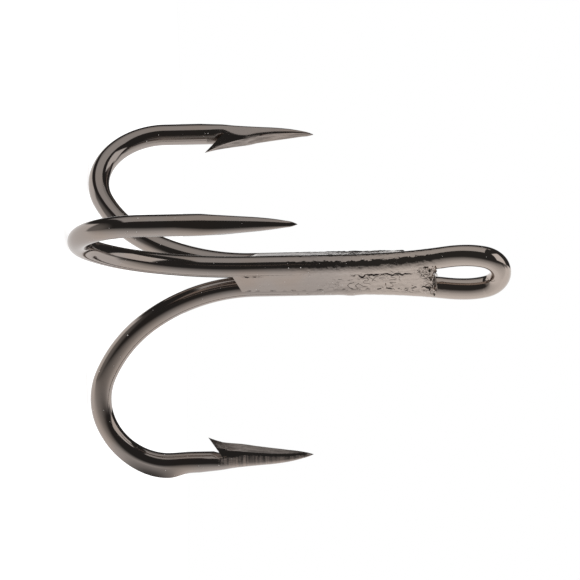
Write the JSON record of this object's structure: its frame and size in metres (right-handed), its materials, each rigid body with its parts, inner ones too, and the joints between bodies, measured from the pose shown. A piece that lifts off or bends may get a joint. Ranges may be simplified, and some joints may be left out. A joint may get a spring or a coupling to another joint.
{
  "type": "treble fishing hook",
  "caption": "Barbed treble fishing hook: hooks brazed round a common shank, with a closed loop eye for a split ring or line.",
  "frame": {"origin": "centre of the eye's opening, in the plane of the eye", "axes": "+Z along the shank towards the eye's outer end; the eye lies in the XZ plane and its hole runs along Y; the single hook points to +Y and the double hook's two hooks to -Y on either side of it, 120 degrees apart"},
  "size_m": [0.0172, 0.0146, 0.02],
  "materials": {
    "double_hook_wire": "black-nickel plated steel wire, mirror bright",
    "single_hook_wire": "black-nickel plated steel wire, mirror bright",
    "braze_alloy": "brazing alloy under the same black-nickel plating, slightly rough"
  },
  "bodies": {
    "root": {"double_hook_wire": "double_hook_wire", "single_hook_wire": "single_hook_wire", "braze_joint": "braze_alloy"}
  },
  "joints": []
}
